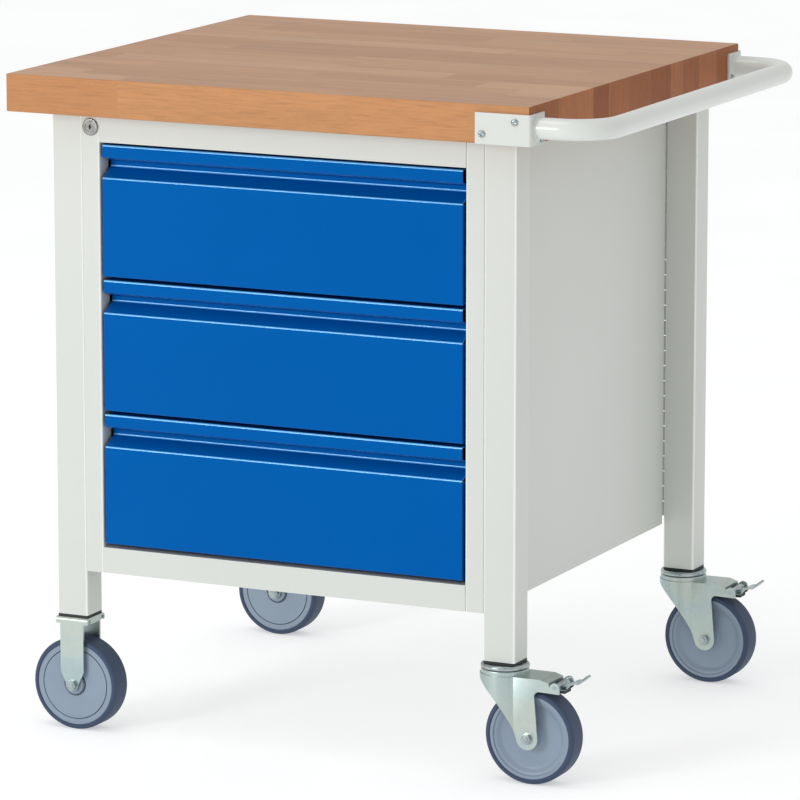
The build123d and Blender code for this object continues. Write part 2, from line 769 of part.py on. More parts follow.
def main():
    legs = {
        "front_left": (left_x, front_leg_y),
        "front_right": (right_x, front_leg_y),
        "rear_left": (left_x, back_leg_y),
        "rear_right": (right_x, back_leg_y),
    }
    make_worktop()
    for place, (x, y) in legs.items():
        make_leg(f"leg_{place}", x, y)
    make_leg_plugs(legs.values())
    make_rear_rail()

    make_side_panel("side_panel_left", -1)
    make_side_panel("side_panel_right", 1)
    make_back_panel()
    make_floor_panel()
    make_stile("stile_left", -1, True)
    make_stile("stile_right", 1, False)
    make_rail("top_rail", bay_z1, board_z, (bay_z1 + sheet / 2,))
    make_rail("bottom_rail", cabinet_z, bay_z0, (bay_z0 - sheet / 2, cabinet_z + sheet / 2))

    make_handle_tube()
    make_bracket("handle_bracket_front", -1)
    make_bracket("handle_bracket_rear", 1)
    make_handle_screws()

    make_lock_housing()
    make_lock_cylinder()
    make_lock_cam()
    make_lock_bar()

    for level in range(drawer_count):
        z = drawer_z0 + level * drawer_pitch
        number = level + 1
        make_drawer_front(f"drawer_front_{number}", z)
        make_drawer_tray(f"drawer_tray_{number}", z)
        make_outer_runners(f"runner_outer_{number}", z + runner_rise)
        make_middle_runners(f"runner_middle_{number}", z + runner_rise)
        make_inner_runners(f"runner_inner_{number}", z + runner_rise)

    for place, (x, y) in legs.items():
        swivels = place.endswith("right")
        wheel_x = x + trail if swivels else x
        make_tyre(f"tyre_{place}", wheel_x, y)
        make_axle(f"axle_{place}", wheel_x, y)
        if swivels:
            make_wheel_core(f"wheel_core_{place}", wheel_x, y, *swivel_dish)
            make_swivel_head(f"swivel_head_{place}", x, y)
            make_swivel_fork(f"fork_{place}", x, y)
            make_brake_pedal(f"brake_pedal_{place}", x, y)
        else:
            make_wheel_core(f"wheel_core_{place}", wheel_x, y, *cover_seat)
            make_wheel_covers(f"wheel_covers_{place}", wheel_x, y)
            make_fixed_fork(f"fork_{place}", x, y)


main()
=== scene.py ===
import bmesh
import bpy
import math
from mathutils import Matrix, Vector


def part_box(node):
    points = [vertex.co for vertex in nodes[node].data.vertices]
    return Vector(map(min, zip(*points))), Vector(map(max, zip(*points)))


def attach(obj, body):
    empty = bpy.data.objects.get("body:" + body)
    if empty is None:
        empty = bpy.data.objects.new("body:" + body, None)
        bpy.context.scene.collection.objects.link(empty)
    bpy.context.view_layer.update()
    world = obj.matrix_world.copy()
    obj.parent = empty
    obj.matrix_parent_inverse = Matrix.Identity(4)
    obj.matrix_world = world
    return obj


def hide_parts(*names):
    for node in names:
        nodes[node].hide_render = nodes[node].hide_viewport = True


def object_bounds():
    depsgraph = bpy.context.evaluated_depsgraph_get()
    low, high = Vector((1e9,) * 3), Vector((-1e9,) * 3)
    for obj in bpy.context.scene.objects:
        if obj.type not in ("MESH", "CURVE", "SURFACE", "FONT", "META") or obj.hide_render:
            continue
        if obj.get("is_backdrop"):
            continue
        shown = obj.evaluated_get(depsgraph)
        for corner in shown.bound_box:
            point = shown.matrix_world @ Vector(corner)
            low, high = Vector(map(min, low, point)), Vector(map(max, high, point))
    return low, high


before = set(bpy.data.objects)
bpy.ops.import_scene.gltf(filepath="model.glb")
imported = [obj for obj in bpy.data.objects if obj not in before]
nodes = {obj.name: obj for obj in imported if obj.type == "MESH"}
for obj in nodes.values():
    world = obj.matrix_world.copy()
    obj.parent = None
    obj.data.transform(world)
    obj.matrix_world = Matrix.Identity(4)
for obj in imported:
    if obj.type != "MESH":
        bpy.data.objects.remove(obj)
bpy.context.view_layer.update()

PLACES = ("front_left", "front_right", "rear_left", "rear_right")
MM = 0.001


# ---- Worktop ----
# A 50 mm beech board glued up from finger-jointed staves that run from end to end, planed and
# oiled. The long edge shows plain orange face grain, the ends show darker end-grain blocks.

def srgb(code):
    """Linear RGBA of an sRGB hex colour."""
    parts = [int(code[i:i + 2], 16) / 255 for i in (0, 2, 4)]
    return (*[c / 12.92 if c <= 0.04045 else ((c + 0.055) / 1.055) ** 2.4 for c in parts], 1.0)


def put(tree, kind, inputs=(), stops=(), **settings):
    """Add one node: its settings, its inputs (a socket with a value or a link), a ramp's stops."""
    node = tree.nodes.new(kind)
    for key, value in settings.items():
        setattr(node, key, value)
    for key, value in inputs:
        if isinstance(value, bpy.types.NodeSocket):
            tree.links.new(value, node.inputs[key])
        else:
            node.inputs[key].default_value = value
    if stops:
        elements = node.color_ramp.elements
        while len(elements) < len(stops):
            elements.new(1.0)
        for element, (place, tone) in zip(elements, stops):
            element.position = place
            element.color = srgb(tone) if isinstance(tone, str) else (tone, tone, tone, 1.0)
    return node


def blank(name, roughness, metallic=0.0, gloss=0.5, tint="FFFFFF"):
    """New material: its tree, its shader and its object coordinates."""
    material = bpy.data.materials.new(name)
    material.use_nodes = True
    tree = material.node_tree
    shader = tree.nodes["Principled BSDF"]
    shader.inputs["Roughness"].default_value = roughness
    shader.inputs["Metallic"].default_value = metallic
    shader.inputs["Specular IOR Level"].default_value = gloss
    shader.inputs["Specular Tint"].default_value = srgb(tint)
    coords = put(tree, "ShaderNodeTexCoord").outputs["Object"]
    return material, tree, shader, coords


STAVE, LAMELLA = 52 * MM, 330 * MM                 # stave width and finger-jointed length
STAVE_SWAY, ROW_START = 1.8, 7.3                   # spread of stave widths and of row starts
GLUE_SIDE, GLUE_BUTT = 0.012, 0.0012               # glue lines as shares of a stave and a lamella
MIX, MULTIPLY = [{"data_type": "RGBA", "blend_type": blend} for blend in ("MIX", "MULTIPLY")]
MIX_A, MIX_B, MIX_OUT = 6, 7, 2                    # colour sockets of a Mix node


def beech(name, tones, fibres, contrast, rings, joint_dark, roughness, gloss):
    """Oiled beech: each lamella its own tone, long fibres, fine pores, glue lines, end rings."""
    material, tree, shader, coords = blank(name, roughness, gloss=gloss)
    apart = put(tree, "ShaderNodeSeparateXYZ", [("Vector", coords)])
    x, y = apart.outputs["X"], apart.outputs["Y"]
    # Staves differ a little in width, and each row of lamellae has its own lengths and start.
    sway = put(tree, "ShaderNodeTexNoise", [("W", y), ("Scale", 9.0)], noise_dimensions="1D")
    across = put(tree, "ShaderNodeMath", [(0, y), (1, STAVE)], operation="DIVIDE").outputs[0]
    swayed = put(tree, "ShaderNodeMath", [(0, sway.outputs["Fac"]), (1, STAVE_SWAY)],
                 operation="MULTIPLY").outputs[0]
    row_at = put(tree, "ShaderNodeMath", [(0, across), (1, swayed)], operation="ADD").outputs[0]
    row = put(tree, "ShaderNodeMath", [(0, row_at)], operation="FLOOR").outputs[0]
    chance = put(tree, "ShaderNodeTexWhiteNoise", [("W", row)],
                 noise_dimensions="1D").outputs["Value"]
    length = put(tree, "ShaderNodeMapRange", [
        ("Value", chance), ("To Min", 0.7 * LAMELLA), ("To Max", 1.3 * LAMELLA)]).outputs[0]
    along = put(tree, "ShaderNodeMath", [(0, x), (1, length)], operation="DIVIDE").outputs[0]
    start = put(tree, "ShaderNodeMath", [(0, chance), (1, ROW_START)],
                operation="MULTIPLY").outputs[0]
    length_at = put(tree, "ShaderNodeMath", [(0, along), (1, start)], operation="ADD").outputs[0]
    count = put(tree, "ShaderNodeMath", [(0, length_at)], operation="FLOOR").outputs[0]
    cell = put(tree, "ShaderNodeCombineXYZ", [("X", row), ("Y", count)]).outputs[0]
    tone = put(tree, "ShaderNodeTexWhiteNoise", [("Vector", cell)],
               noise_dimensions="3D").outputs["Value"]
    places = [i / (len(tones) - 1) for i in range(len(tones))]
    colour = put(tree, "ShaderNodeValToRGB", [("Fac", tone)],
                 list(zip(places, tones))).outputs["Color"]
    # Fibres are stretched along the staves and shifted from lamella to lamella.
    shifted = put(tree, "ShaderNodeVectorMath", [(0, coords), (1, cell)],
                  operation="ADD").outputs[0]
    fibre_at = put(tree, "ShaderNodeMapping", [("Vector", shifted), ("Scale", fibres)]).outputs[0]
    streak = put(tree, "ShaderNodeTexNoise", [
        ("Vector", fibre_at), ("Scale", 1.0), ("Detail", 6.0), ("Roughness", 0.6),
        ("Distortion", 0.5)]).outputs["Fac"]
    shade = put(tree, "ShaderNodeValToRGB", [("Fac", streak)],
                [(0.32, 0.55), (0.5, 1.0), (0.7, 1.25)]).outputs["Color"]
    colour = put(tree, "ShaderNodeMix", [("Factor", contrast), (MIX_A, colour), (MIX_B, shade)],
                 **MULTIPLY).outputs[MIX_OUT]
    # Ray flecks and pores: short dark dashes, drawn larger than the real half millimetre.
    dash_at = put(tree, "ShaderNodeMapping", [
        ("Vector", shifted), ("Scale", (90.0, 620.0, 620.0))]).outputs[0]
    fleck = put(tree, "ShaderNodeTexNoise", [
        ("Vector", dash_at), ("Scale", 1.0), ("Detail", 2.0)]).outputs["Fac"]
    shade = put(tree, "ShaderNodeValToRGB", [("Fac", fleck)],
                [(0.56, 1.0), (0.7, 0.5)]).outputs["Color"]
    colour = put(tree, "ShaderNodeMix", [("Factor", 0.16), (MIX_A, colour), (MIX_B, shade)],
                 **MULTIPLY).outputs[MIX_OUT]
    # A slow cloud of darker heartwood and lighter sapwood along each board.
    cloud_at = put(tree, "ShaderNodeMapping", [
        ("Vector", shifted), ("Scale", (2.2, 22.0, 22.0))]).outputs[0]
    cloud = put(tree, "ShaderNodeTexNoise", [
        ("Vector", cloud_at), ("Scale", 1.0), ("Detail", 4.0), ("Distortion", 1.1)]).outputs["Fac"]
    shade = put(tree, "ShaderNodeValToRGB", [("Fac", cloud)],
                [(0.3, 0.74), (0.7, 1.16)]).outputs["Color"]
    colour = put(tree, "ShaderNodeMix", [("Factor", 0.32), (MIX_A, colour), (MIX_B, shade)],
                 **MULTIPLY).outputs[MIX_OUT]
    if rings:
        growth = put(tree, "ShaderNodeTexWave", [
            ("Vector", shifted), ("Scale", 42.0), ("Distortion", 3.5), ("Detail", 3.0),
            ("Detail Scale", 0.8)], bands_direction="Y").outputs["Fac"]
        shade = put(tree, "ShaderNodeValToRGB", [("Fac", growth)],
                    [(0.1, 0.7), (0.8, 1.1)]).outputs["Color"]
        colour = put(tree, "ShaderNodeMix", [("Factor", rings), (MIX_A, colour), (MIX_B, shade)],
                     **MULTIPLY).outputs[MIX_OUT]
    # Glue lines between staves and at the ends of lamellae.
    side = put(tree, "ShaderNodeMath", [(0, row_at), (1, 0.5)], operation="PINGPONG").outputs[0]
    beside = put(tree, "ShaderNodeMath", [(0, side), (1, GLUE_SIDE)],
                 operation="LESS_THAN").outputs[0]
    end = put(tree, "ShaderNodeMath", [(0, length_at), (1, 0.5)], operation="PINGPONG").outputs[0]
    butt = put(tree, "ShaderNodeMath", [(0, end), (1, GLUE_BUTT)],
               operation="LESS_THAN").outputs[0]
    joint = put(tree, "ShaderNodeMath", [(0, beside), (1, butt)], operation="MAXIMUM").outputs[0]
    dark = put(tree, "ShaderNodeMath", [(0, joint), (1, joint_dark)],
               operation="MULTIPLY").outputs[0]
    colour = put(tree, "ShaderNodeMix", [
        ("Factor", dark), (MIX_A, colour), (MIX_B, srgb("6A4530"))], **MIX).outputs[MIX_OUT]
    tree.links.new(colour, shader.inputs["Base Color"])
    sheen = put(tree, "ShaderNodeMapRange", [
        ("Value", streak), ("To Min", roughness - 0.1), ("To Max", roughness + 0.1)]).outputs[0]
    tree.links.new(sheen, shader.inputs["Roughness"])
    groove = put(tree, "ShaderNodeMath", [(0, joint), (1, 0.5)], operation="MULTIPLY").outputs[0]
    relief = put(tree, "ShaderNodeMath", [(0, streak), (1, groove)],
                 operation="SUBTRACT").outputs[0]
    bump = put(tree, "ShaderNodeBump", [
        ("Height", relief), ("Strength", 0.2), ("Distance", 0.5 * MM)])
    tree.links.new(bump.outputs["Normal"], shader.inputs["Normal"])
    return material


def finish_mesh(bm, name, bevel=0.0, segments=2, sharp=30.0, limit=32.0):
    """Turn a bmesh into a linked object with softened edges and smooth rounds, as a plain mesh."""
    mesh = bpy.data.meshes.new(name)
    bm.to_mesh(mesh)
    bm.free()
    mesh.polygons.foreach_set("use_smooth", [True] * len(mesh.polygons))
    mesh.set_sharp_from_angle(angle=math.radians(sharp))
    piece = bpy.data.objects.new(name, mesh)
    bpy.context.collection.objects.link(piece)
    if bevel:
        soften = piece.modifiers.new("soften", "BEVEL")
        soften.width = bevel
        soften.segments = segments
        soften.limit_method = "ANGLE"
        soften.angle_limit = math.radians(limit)
        soften.harden_normals = True
        evaluated = piece.evaluated_get(bpy.context.evaluated_depsgraph_get())
        piece.data = bpy.data.meshes.new_from_object(evaluated)
        piece.modifiers.clear()
    return piece


def fit(piece, material, body, slot, *replaced):
    """Give a piece its material, the body it rides on and the CAD nodes it stands for."""
    if not piece.data.materials:
        piece.data.materials.append(material)
    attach(piece, body)
    if replaced:
        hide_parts(*replaced)
    return piece


# Fibres per metre along X, Y and Z: long on the face and edge, upright on the ends.
TOP_FIBRES = (6.0, 150.0, 150.0)
EDGE_FIBRES = (24.0, 200.0, 330.0)
END_FIBRES = (240.0, 260.0, 16.0)
# Planed and oiled face grain: pale brown with a low satin gloss.
beech_face = beech("beech_face_oiled", ("B78B69", "B18664", "BD9372", "AD8160", "B48866", "BA8F6D"),
                   TOP_FIBRES, 0.42, 0.0, 0.2, 0.5, 0.3)
# The long edge was cut along the grain and took the oil more evenly: orange and calm.
beech_edge = beech("beech_long_edge_oiled", ("B67F50", "B37B4C", "B98354", "B0784A"),
                   EDGE_FIBRES, 0.36, 0.0, 0.0, 0.5, 0.3)
# End grain drinks the oil: dark red-brown blocks, matt, with growth rings.
beech_end = beech("beech_end_grain_oiled",
                  ("9E6038", "8F5430", "A86A40", "8A4E2A", "985B35", "A46640"),
                  END_FIBRES, 0.42, 0.26, 0.3, 0.55, 0.22)

low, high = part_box("worktop")
bm = bmesh.new()
bmesh.ops.create_cube(bm, size=1.0)
centre, size = (low + high) / 2, high - low
placing = Matrix.Translation(centre) @ Matrix.Diagonal((*size, 1.0))
bmesh.ops.transform(bm, matrix=placing, verts=bm.verts)
worktop = finish_mesh(bm, "worktop_board", bevel=1.6 * MM, segments=3)
for material in (beech_face, beech_edge, beech_end):
    worktop.data.materials.append(material)
for face in worktop.data.polygons:
    reach = [abs(n) for n in face.normal]
    face.material_index = (2, 1, 0)[reach.index(max(reach))]
fit(worktop, beech_face, "bench", "beech", "worktop")


# ---- Frame and cabinet ----
# Square steel tubes and folded sheet, welded, then powder coated light grey. Powder coat flows
# into a faint orange peel, so its highlights are soft and broken; bends and edges get a painted
# highlight.

def powder_coat(name, tones, roughness, peel, gloss=0.5, tint="FFFFFF"):
    """Powder coat over steel: slow tone drift, orange peel and a slightly uneven gloss."""
    material, tree, shader, coords = blank(name, roughness, gloss=gloss, tint=tint)
    drift = put(tree, "ShaderNodeTexNoise", [
        ("Vector", coords), ("Scale", 2.6), ("Detail", 3.0)]).outputs["Fac"]
    colour = put(tree, "ShaderNodeValToRGB", [("Fac", drift)],
                 [(0.3, tones[0]), (0.7, tones[1])]).outputs["Color"]
    handled = put(tree, "ShaderNodeTexNoise", [
        ("Vector", coords), ("Scale", 24.0), ("Detail", 5.0), ("Roughness", 0.6)]).outputs["Fac"]
    shade = put(tree, "ShaderNodeValToRGB", [("Fac", handled)],
                [(0.3, 0.88), (0.7, 1.04)]).outputs["Color"]
    colour = put(tree, "ShaderNodeMix", [("Factor", 0.05), (MIX_A, colour), (MIX_B, shade)],
                 **MULTIPLY).outputs[MIX_OUT]
    tree.links.new(colour, shader.inputs["Base Color"])
    gleam = put(tree, "ShaderNodeMapRange", [
        ("Value", handled), ("From Min", 0.3), ("From Max", 0.7),
        ("To Min", roughness - 0.02), ("To Max", roughness + 0.03)]).outputs[0]
    tree.links.new(gleam, shader.inputs["Roughness"])
    skin = put(tree, "ShaderNodeTexNoise", [
        ("Vector", coords), ("Scale", peel), ("Detail", 2.0), ("Roughness", 0.45)]).outputs["Fac"]
    bump = put(tree, "ShaderNodeBump", [
        ("Height", skin), ("Strength", 0.16), ("Distance", 0.2 * MM)])
    tree.links.new(bump.outputs["Normal"], shader.inputs["Normal"])
    return material


def refined(node, bevel=0.35 * MM, segments=2, limit=32.0):
    """Clean copy of a CAD solid: merged, flats joined up, edges softened."""
    bm = bmesh.new()
    bm.from_mesh(nodes[node].data)
    bmesh.ops.remove_doubles(bm, verts=bm.verts, dist=2e-6)
    bmesh.ops.dissolve_limit(bm, angle_limit=math.radians(0.6), verts=bm.verts, edges=bm.edges)
    return finish_mesh(bm, node + "_made", bevel=bevel, segments=segments, limit=limit)


def coated(piece, coat, highlight_coat, lowest=-1.0, widest=1.3 * MM):
    """Coat a piece, with a paler painted highlight on narrow slanting faces: bends and broken
    edges.
    """
    piece.data.materials.append(coat)
    piece.data.materials.append(highlight_coat)
    corners = piece.data.vertices
    for face in piece.data.polygons:
        slanting = max(abs(n) for n in face.normal) < 0.985
        if slanting and face.normal.z > lowest:
            longest = max((corners[i].co - corners[j].co).length for i, j in face.edge_keys)
            # Narrow slanting faces take the painted highlight.
            face.material_index = int(face.area / longest < widest)
    return piece


# Polyester powder baked on steel: light grey, satin, the same on sheets and tubes.
grey_coat = powder_coat("powder_coat_light_grey", ("C6C9C4", "C9CCC7"), 0.36, 520.0)
# Painted highlight: a paler, glossier copy of the coat for the light that bends and edges catch.
grey_painted_highlight = powder_coat("powder_coat_light_grey_painted_highlight", ("E2E5E0", "E6E9E4"), 0.28, 520.0)
LEGS = ["leg_" + place for place in PLACES]
SHEETS = ["side_panel_left", "side_panel_right", "back_panel", "floor_panel", "stile_left",
          "stile_right", "top_rail", "bottom_rail", "rear_rail"]
# Legs and sheets are coated, with the painted highlight on the narrow faces of bends and edges.
for node in LEGS + SHEETS:
    fit(coated(refined(node), grey_coat, grey_painted_highlight), grey_coat, "bench", "grey_coat", node)


# ---- Leg plugs ----
# Black polyethylene plugs pressed into the feet of the legs, matt, each with a thin flange.

def moulded(name, tones, roughness, grain, depth, gloss=0.5):
    """Moulded plastic or rubber: fine spark-eroded grain and slightly uneven gloss."""
    material, tree, shader, coords = blank(name, roughness, gloss=gloss)
    drift = put(tree, "ShaderNodeTexNoise", [
        ("Vector", coords), ("Scale", 14.0), ("Detail", 4.0)]).outputs["Fac"]
    colour = put(tree, "ShaderNodeValToRGB", [("Fac", drift)],
                 [(0.3, tones[0]), (0.7, tones[1])]).outputs["Color"]
    tree.links.new(colour, shader.inputs["Base Color"])
    grit = put(tree, "ShaderNodeTexNoise", [
        ("Vector", coords), ("Scale", grain), ("Detail", 3.0)]).outputs["Fac"]
    sheen = put(tree, "ShaderNodeMapRange", [
        ("Value", grit), ("From Min", 0.3), ("From Max", 0.7),
        ("To Min", roughness - 0.06), ("To Max", roughness + 0.08)]).outputs[0]
    tree.links.new(sheen, shader.inputs["Roughness"])
    bump = put(tree, "ShaderNodeBump", [
        ("Height", grit), ("Strength", 0.3), ("Distance", depth)])
    tree.links.new(bump.outputs["Normal"], shader.inputs["Normal"])
    return material


# Black moulded polyethylene: nearly black, matt.
plug_plastic = moulded("polyethylene_black", ("15161A", "1E1F22"), 0.55, 900.0, 0.0001)
fit(refined("leg_plugs"), plug_plastic, "bench", "black_plastic", "leg_plugs")


# ---- Push handle ----
# A 28 mm tube bent cold round a former, welded to two folded angle plates and powder coated
# with the frame. Pan-head screws with a cross recess hold the plates to the worktop.

def rounded_path(points, radius, steps=10):
    """Polyline whose corners are arcs of one radius."""
    path = [Vector(points[0])]
    for before, corner, after in zip(points, points[1:], points[2:]):
        before, corner, after = Vector(before), Vector(corner), Vector(after)
        to_before = (before - corner).normalized()
        to_after = (after - corner).normalized()
        half = to_before.angle(to_after) / 2
        trim = radius / math.tan(half)
        middle = corner + (to_before + to_after).normalized() * radius / math.sin(half)
        start = corner + to_before * trim - middle
        finish = corner + to_after * trim - middle
        turn = start.angle(finish)
        for i in range(steps + 1):
            share = i / steps
            spot = start * math.sin((1 - share) * turn) + finish * math.sin(share * turn)
            path.append(middle + spot / math.sin(turn))
    path.append(Vector(points[-1]))
    return path


def tube(name, path, radius, sides=48):
    """Round bar along a path, closed at both ends."""
    curve = bpy.data.curves.new(name, "CURVE")
    curve.dimensions = "3D"
    curve.bevel_depth = radius
    curve.bevel_resolution = sides // 4
    curve.use_fill_caps = True
    spline = curve.splines.new("POLY")
    spline.points.add(len(path) - 1)
    for point, place in zip(spline.points, path):
        point.co = (*place, 1.0)
    shape = bpy.data.objects.new(name, curve)
    bpy.context.collection.objects.link(shape)
    evaluated = shape.evaluated_get(bpy.context.evaluated_depsgraph_get())
    mesh = bpy.data.meshes.new_from_object(evaluated)
    bpy.data.objects.remove(shape)
    mesh.polygons.foreach_set("use_smooth", [True] * len(mesh.polygons))
    mesh.set_sharp_from_angle(angle=math.radians(40))
    piece = bpy.data.objects.new(name, mesh)
    bpy.context.collection.objects.link(piece)
    return piece


# The same coat on the round tube lies smoother than on sheet, with a closer gloss.
# Its paler tone is painted light that brightens the tube.
grey_gloss_painted_light = powder_coat("powder_coat_light_grey_handle_painted_light", ("D0D3CE", "D3D6D1"), 0.22, 520.0, 0.6)
HANDLE_R, HANDLE_BEND = 14.0 * MM, 55.0 * MM
low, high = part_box("handle_tube")
run_x, tube_z, tube_y = high.x - HANDLE_R, (low.z + high.z) / 2, high.y - HANDLE_R
corners = [(x, y, tube_z) for x, y in
           ((low.x, -tube_y), (run_x, -tube_y), (run_x, tube_y), (low.x, tube_y))]
handle = tube("handle_tube_bent", rounded_path(corners, HANDLE_BEND, 24), HANDLE_R)
# The tube wears the paler, painted-light copy of the coat.
fit(handle, grey_gloss_painted_light, "bench", "grey_coat", "handle_tube")
for side in ("front", "rear"):
    node = "handle_bracket_" + side
    fit(refined(node, 0.5 * MM, 3), grey_coat, "bench", "grey_coat", node)


def lathe(name, profile, centre, axis, steps=96, bevel=0.0):
    """Solid turned from a closed profile of (distance along the axis, radius) about an axis."""
    axis = Vector(axis)
    side = axis.orthogonal().normalized()
    other = axis.cross(side)
    bm = bmesh.new()
    rings = []
    for step in range(steps):
        angle = 2 * math.pi * step / steps
        out = side * math.cos(angle) + other * math.sin(angle)
        rings.append([bm.verts.new(Vector(centre) + axis * a + out * r) for a, r in profile])
    count = len(profile)
    for step in range(steps):
        here, there = rings[step], rings[(step + 1) % steps]
        for i in range(count):
            j = (i + 1) % count
            bm.faces.new((here[i], here[j], there[j], there[i]))
    bmesh.ops.remove_doubles(bm, verts=bm.verts, dist=1e-7)
    bmesh.ops.recalc_face_normals(bm, faces=bm.faces)
    return finish_mesh(bm, name, bevel=bevel, segments=2)


# Weld beads where the tube meets each plate: a low coated ring.
BEAD = ((0.0, 0.0), (0.0, 2.4), (0.9, 2.2), (2.0, 1.0), (2.6, 0.0))     # along and out, in mm
ring = [(along * MM, HANDLE_R + out * MM) for along, out in BEAD]
for side, name in ((-1, "front"), (1, "rear")):
    bead = lathe("handle_weld_" + name, ring, (low.x, side * tube_y, tube_z), (1, 0, 0), 72)
    fit(bead, grey_coat, "bench", "grey_coat")


# ---- Zinc-plated steel ----
# Blue-passivated zinc: bright, slightly cloudy plate with faint blue and straw tints from the
# passivation, and a gloss that the crystals of the plate break up.

def zinc_plate(name, tones, roughness, cloud):
    """Plated metal: cloudy tints, small crystals and a fine grain that break up the gloss."""
    material, tree, shader, coords = blank(name, roughness, metallic=1.0)
    veil = put(tree, "ShaderNodeTexNoise", [
        ("Vector", coords), ("Scale", cloud), ("Detail", 4.0), ("Distortion", 1.2)]).outputs["Fac"]
    colour = put(tree, "ShaderNodeValToRGB", [("Fac", veil)],
                 [(0.3, tones[0]), (0.5, tones[1]), (0.7, tones[2])]).outputs["Color"]
    tree.links.new(colour, shader.inputs["Base Color"])
    grain = put(tree, "ShaderNodeTexVoronoi", [
        ("Vector", coords), ("Scale", 380.0)]).outputs["Distance"]
    fine = put(tree, "ShaderNodeTexNoise", [
        ("Vector", coords), ("Scale", 160.0), ("Detail", 5.0)]).outputs["Fac"]
    sheen = put(tree, "ShaderNodeMapRange", [
        ("Value", fine), ("From Min", 0.3), ("From Max", 0.7),
        ("To Min", roughness - 0.08), ("To Max", roughness + 0.12)]).outputs[0]
    tree.links.new(sheen, shader.inputs["Roughness"])
    relief = put(tree, "ShaderNodeMath", [(0, grain), (1, fine)], operation="ADD").outputs[0]
    bump = put(tree, "ShaderNodeBump", [
        ("Height", relief), ("Strength", 0.07), ("Distance", 0.12 * MM)])
    tree.links.new(bump.outputs["Normal"], shader.inputs["Normal"])
    return material


# Pressed sheet in bright zinc, passivated blue: pale grey-green, cloudy, half gloss.
zinc = zinc_plate("zinc_plate_blue_passivated", ("A3B4B6", "B0BEBB", "B6BEB5"), 0.36, 14.0)

# Turned and pressed rings, bolts and levers keep a sharper polish than the drawn forks.
bright_zinc = zinc_plate("zinc_plate_polished", ("8B9AA0", "A2AEB0", "B4BAB4"), 0.19, 60.0)

# The six screws are one turned head with a cross recess, set at each hole by a node tree.
HEAD_R, HEAD_T = 4.6 * MM, 2.8 * MM
ARM, ARM_WIDE, ARM_DEEP = 5.6 * MM, 1.5 * MM, 3.4 * MM      # the recess reaches half its depth in
dome = [(0.0, 0.0), (0.0, HEAD_R)] + [
    (HEAD_T * (0.35 + 0.65 * math.sin(a)), HEAD_R * math.cos(a) ** 0.6)
    for a in [math.radians(i * 9) for i in range(10)]] + [(HEAD_T, 0.0)]
head = lathe("screw_head", dome, (0, 0, 0), (0, 0, 1), 32)
cutters = bmesh.new()
for size in ((ARM, ARM_WIDE, ARM_DEEP), (ARM_WIDE, ARM, ARM_DEEP)):
    placing = Matrix.Translation((0, 0, HEAD_T)) @ Matrix.Diagonal((*size, 1.0))
    bmesh.ops.create_cube(cutters, size=1.0, matrix=placing)
cross = finish_mesh(cutters, "screw_cross")
recess = head.modifiers.new("recess", "BOOLEAN")
recess.object = cross
recess.operation = "DIFFERENCE"
recess.use_self = True
evaluated = head.evaluated_get(bpy.context.evaluated_depsgraph_get())
head.data = bpy.data.meshes.new_from_object(evaluated)
head.modifiers.clear()
bpy.data.objects.remove(cross)


def scatter_tree(name, prototype, material):
    """Node tree that sets a prototype at every point, turned to the point's direction."""
    tree = bpy.data.node_groups.new(name, "GeometryNodeTree")
    tree.interface.new_socket("Geometry", in_out="INPUT", socket_type="NodeSocketGeometry")
    size = tree.interface.new_socket("Size", in_out="INPUT", socket_type="NodeSocketFloat")
    size.default_value = 1.0
    tree.interface.new_socket("Geometry", in_out="OUTPUT", socket_type="NodeSocketGeometry")
    given = put(tree, "NodeGroupInput")
    facing = put(tree, "GeometryNodeInputNamedAttribute", [("Name", "facing")],
                 data_type="FLOAT_VECTOR")
    turned = put(tree, "FunctionNodeAlignRotationToVector",
                 [("Vector", facing.outputs["Attribute"])], axis="Z")
    made = put(tree, "GeometryNodeObjectInfo", [("Object", prototype)])
    placed = put(tree, "GeometryNodeInstanceOnPoints", [
        ("Points", given.outputs["Geometry"]), ("Instance", made.outputs["Geometry"]),
        ("Rotation", turned.outputs["Rotation"]), ("Scale", given.outputs["Size"])])
    real = put(tree, "GeometryNodeRealizeInstances", [("Geometry", placed.outputs["Instances"])])
    painted = put(tree, "GeometryNodeSetMaterial", [
        ("Geometry", real.outputs["Geometry"]), ("Material", material)])
    put(tree, "NodeGroupOutput", [("Geometry", painted.outputs["Geometry"])])
    return tree


def scattered(name, tree, spots, size=1.0):
    """Run a scatter tree over (place, direction) pairs and keep the result as a plain mesh."""
    mesh = bpy.data.meshes.new(name)
    mesh.from_pydata([tuple(place) for place, _ in spots], [], [])
    facing = mesh.attributes.new("facing", "FLOAT_VECTOR", "POINT")
    facing.data.foreach_set("vector", [c for _, way in spots for c in way])
    piece = bpy.data.objects.new(name, mesh)
    bpy.context.collection.objects.link(piece)
    modifier = piece.modifiers.new("scatter", "NODES")
    modifier.node_group = tree
    socket = next(s.identifier for s in tree.interface.items_tree if s.name == "Size")
    modifier[socket] = size
    evaluated = piece.evaluated_get(bpy.context.evaluated_depsgraph_get())
    piece.data = bpy.data.meshes.new_from_object(evaluated)
    piece.modifiers.clear()
    return piece


